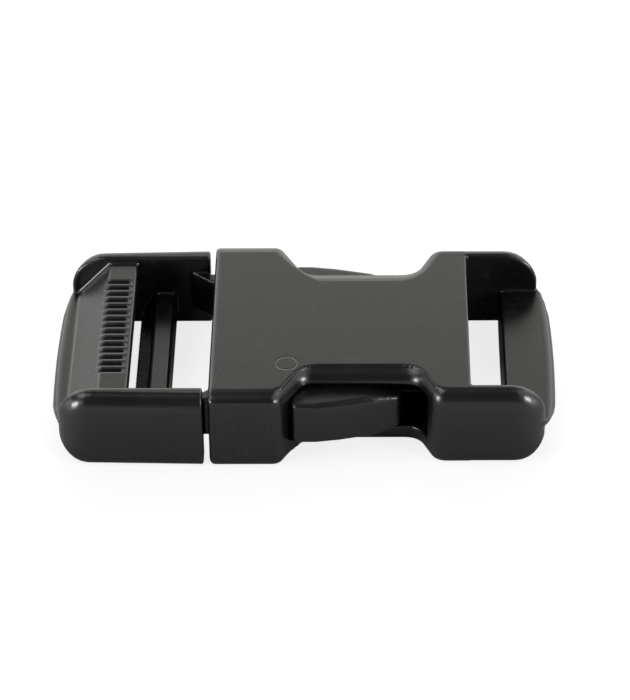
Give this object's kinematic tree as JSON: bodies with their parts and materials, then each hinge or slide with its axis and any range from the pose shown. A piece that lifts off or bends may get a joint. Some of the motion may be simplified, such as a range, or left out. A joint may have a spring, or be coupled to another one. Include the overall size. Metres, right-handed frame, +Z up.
{
  "type": "side release buckle",
  "caption": "Closed side release buckle for webbing: a pronged male half with a ribbed adjuster frame, snapped into a flat female half with finger windows and a strap slot.",
  "frame": {"origin": "centre of the closed buckle's length and width, on the plane that it lies on", "axes": "+X along the webbing from the male half to the female half, +Y across the webbing, +Z up out of the grip panel's side"},
  "size_m": [0.0624, 0.0326, 0.0105],
  "materials": {
    "plastic_male": "satin moulded acetal, black, with a fine even grain",
    "plastic_female": "satin moulded acetal, black, with a fine even grain"
  },
  "bodies": {
    "root": {"male_half": "plastic_male", "female_half": "plastic_female"}
  },
  "joints": []
}
